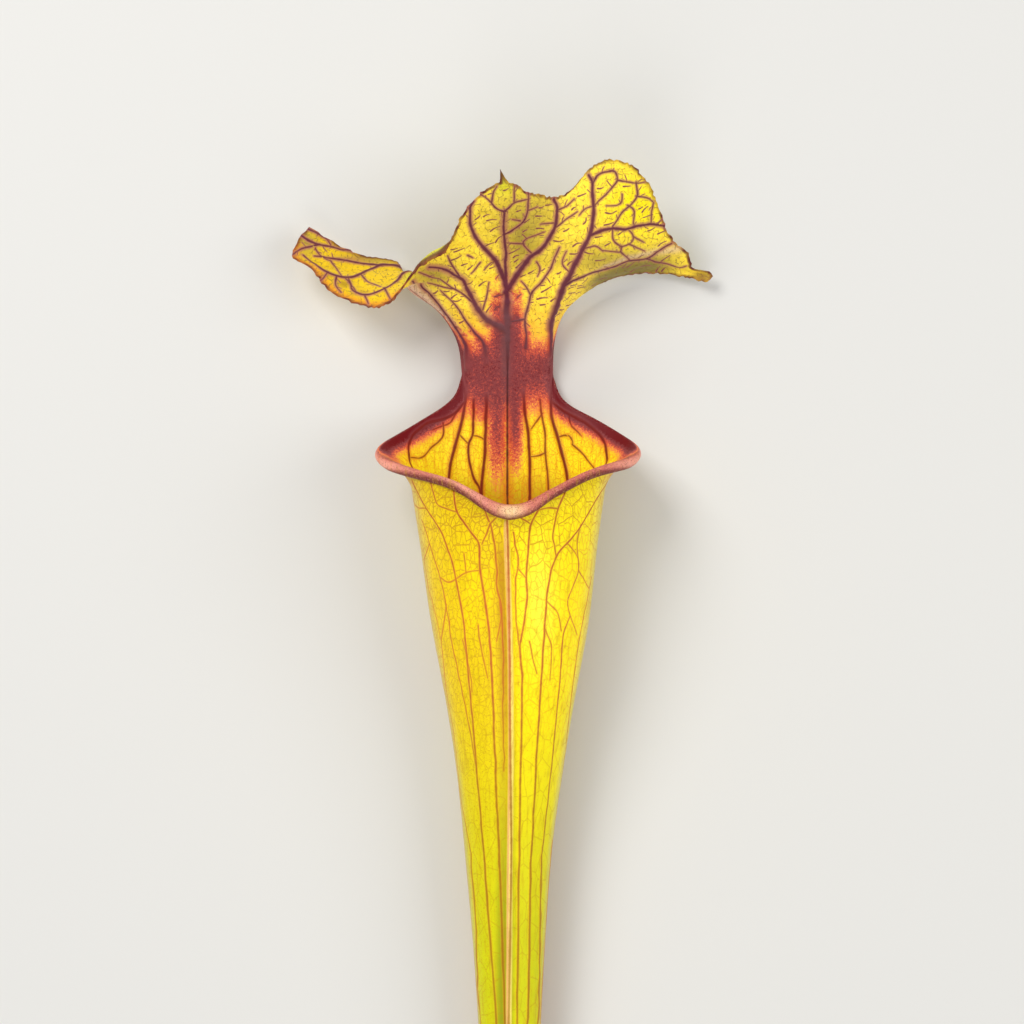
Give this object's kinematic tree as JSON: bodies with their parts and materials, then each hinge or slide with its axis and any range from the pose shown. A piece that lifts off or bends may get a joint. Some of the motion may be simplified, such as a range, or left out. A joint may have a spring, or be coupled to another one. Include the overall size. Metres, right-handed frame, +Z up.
{
  "type": "yellow pitcher plant leaf",
  "caption": "Picked pitcher leaf lying on its back: slim hollow tube that tapers to a cut stalk, rolled lip round an open mouth, narrow neck and a waved, veined lid.",
  "frame": {"origin": "on the surface that the leaf lies on, below the middle of its bounding box", "axes": "+X to the right as the mouth faces up, +Y along the tube from the cut stalk to the lid, +Z up from the surface"},
  "size_m": [0.1183, 0.3981, 0.0538],
  "materials": {
    "leaf": "fresh half-gloss leaf, yellow with dark red veins, a red throat and a dusky pink lip"
  },
  "bodies": {
    "root": {"pitcher": "leaf"}
  },
  "joints": []
}
